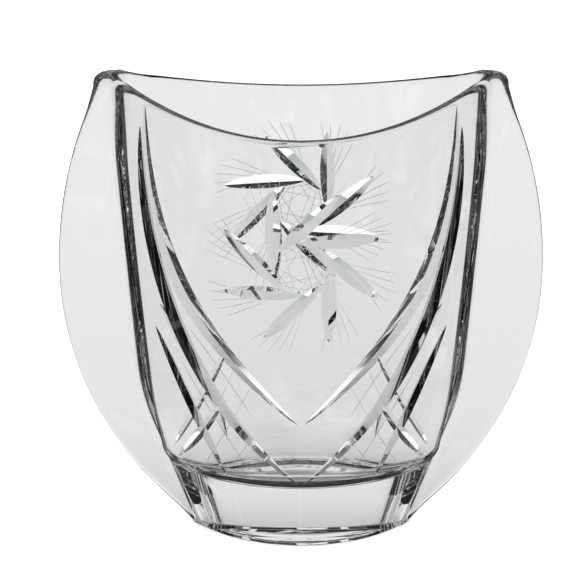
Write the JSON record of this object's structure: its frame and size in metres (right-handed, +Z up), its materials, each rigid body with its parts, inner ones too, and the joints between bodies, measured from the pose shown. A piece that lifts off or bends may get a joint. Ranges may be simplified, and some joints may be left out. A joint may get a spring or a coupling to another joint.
{
  "type": "vase",
  "caption": "Flat pillow-shaped cut crystal vase with a saddle rim, solid side wings, thick base, pinwheel and pointed-arch cuts.",
  "frame": {"origin": "centre of the foot's underside, on the plane that the vase stands on", "axes": "+Z up through the mouth, -Y towards the front broad face, +X along the wide direction from wing to wing"},
  "size_m": [0.202, 0.076, 0.205],
  "materials": {
    "crystal": "clear polished lead crystal with polished wheel cuts and fine matte engraved lines"
  },
  "bodies": {
    "root": {"vase_body": "crystal"}
  },
  "joints": []
}
